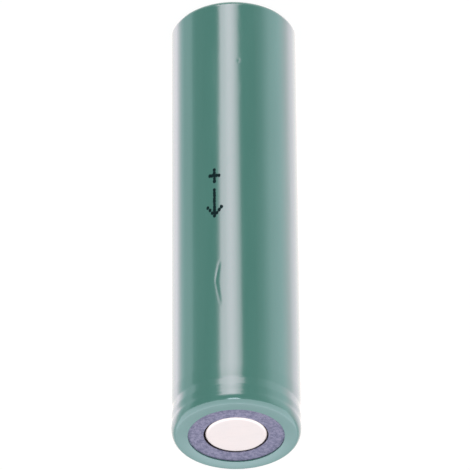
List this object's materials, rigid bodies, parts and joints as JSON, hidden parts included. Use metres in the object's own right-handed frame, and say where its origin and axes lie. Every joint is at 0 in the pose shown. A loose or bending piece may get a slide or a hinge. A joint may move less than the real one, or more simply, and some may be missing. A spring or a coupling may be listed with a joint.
{
  "type": "cylindrical battery cell",
  "caption": "Upright cylindrical rechargeable cell in a shrink sleeve, with a flat positive cap in a fibre washer and a spring-loaded gas valve under the cap.",
  "frame": {"origin": "middle of the cell's underside, where the sleeve's lower lip rests", "axes": "+Z along the cell's axis out of the positive terminal; the cell is the same all round, so +X and +Y are free"},
  "size_m": [0.0178, 0.0178, 0.0673],
  "materials": {
    "shrink_film": "glossy teal green heat-shrink film, shrunk on, smooth with faint ripples",
    "vulcanised_fibre": "matt purple-grey vulcanised fibre with fine mottling",
    "nickel_plate": "nickel-plated deep-drawn steel, semi-bright",
    "cap_nickel": "bright nickel plate on pressed steel",
    "nylon": "natural nylon, satin",
    "valve_rubber": "black moulded rubber",
    "spring_steel": "bright drawn spring wire",
    "nickel_strip": "rolled nickel strip",
    "polypropylene": "translucent white polypropylene",
    "separator": "white non-woven separator",
    "positive_paste": "dark green-black paste pressed into nickel foam",
    "hydride_paste": "dark grey pressed alloy powder",
    "punched_strip": "nickel-plated punched steel strip"
  },
  "bodies": {
    "cell": {"sleeve": "shrink_film", "top_washer": "vulcanised_fibre", "can": "nickel_plate", "gasket": "nylon", "positive_cap": "cap_nickel", "sealing_plate": "nickel_plate", "vent_spring": "spring_steel", "positive_lead": "nickel_strip", "positive_collector": "nickel_strip", "vibration_ring": "polypropylene", "negative_collector": "nickel_plate", "separator_inner": "separator", "positive_plate": "positive_paste", "positive_edge_strip": "nickel_strip", "separator_outer": "separator", "negative_coating_inner": "hydride_paste", "negative_core": "punched_strip", "negative_coating_outer": "hydride_paste"},
    "vent_valve": {"valve_rubber": "valve_rubber", "valve_plate": "nickel_plate"}
  },
  "joints": [
    {"name": "vent_lift", "type": "slide", "parent": "cell", "child": "vent_valve", "axis": [0, 0, 1], "range_m": [0, 0.0004], "stiffness_N_per_m": 5000, "springref_m": -0.001, "deforming": ["vent_spring"]}
  ]
}
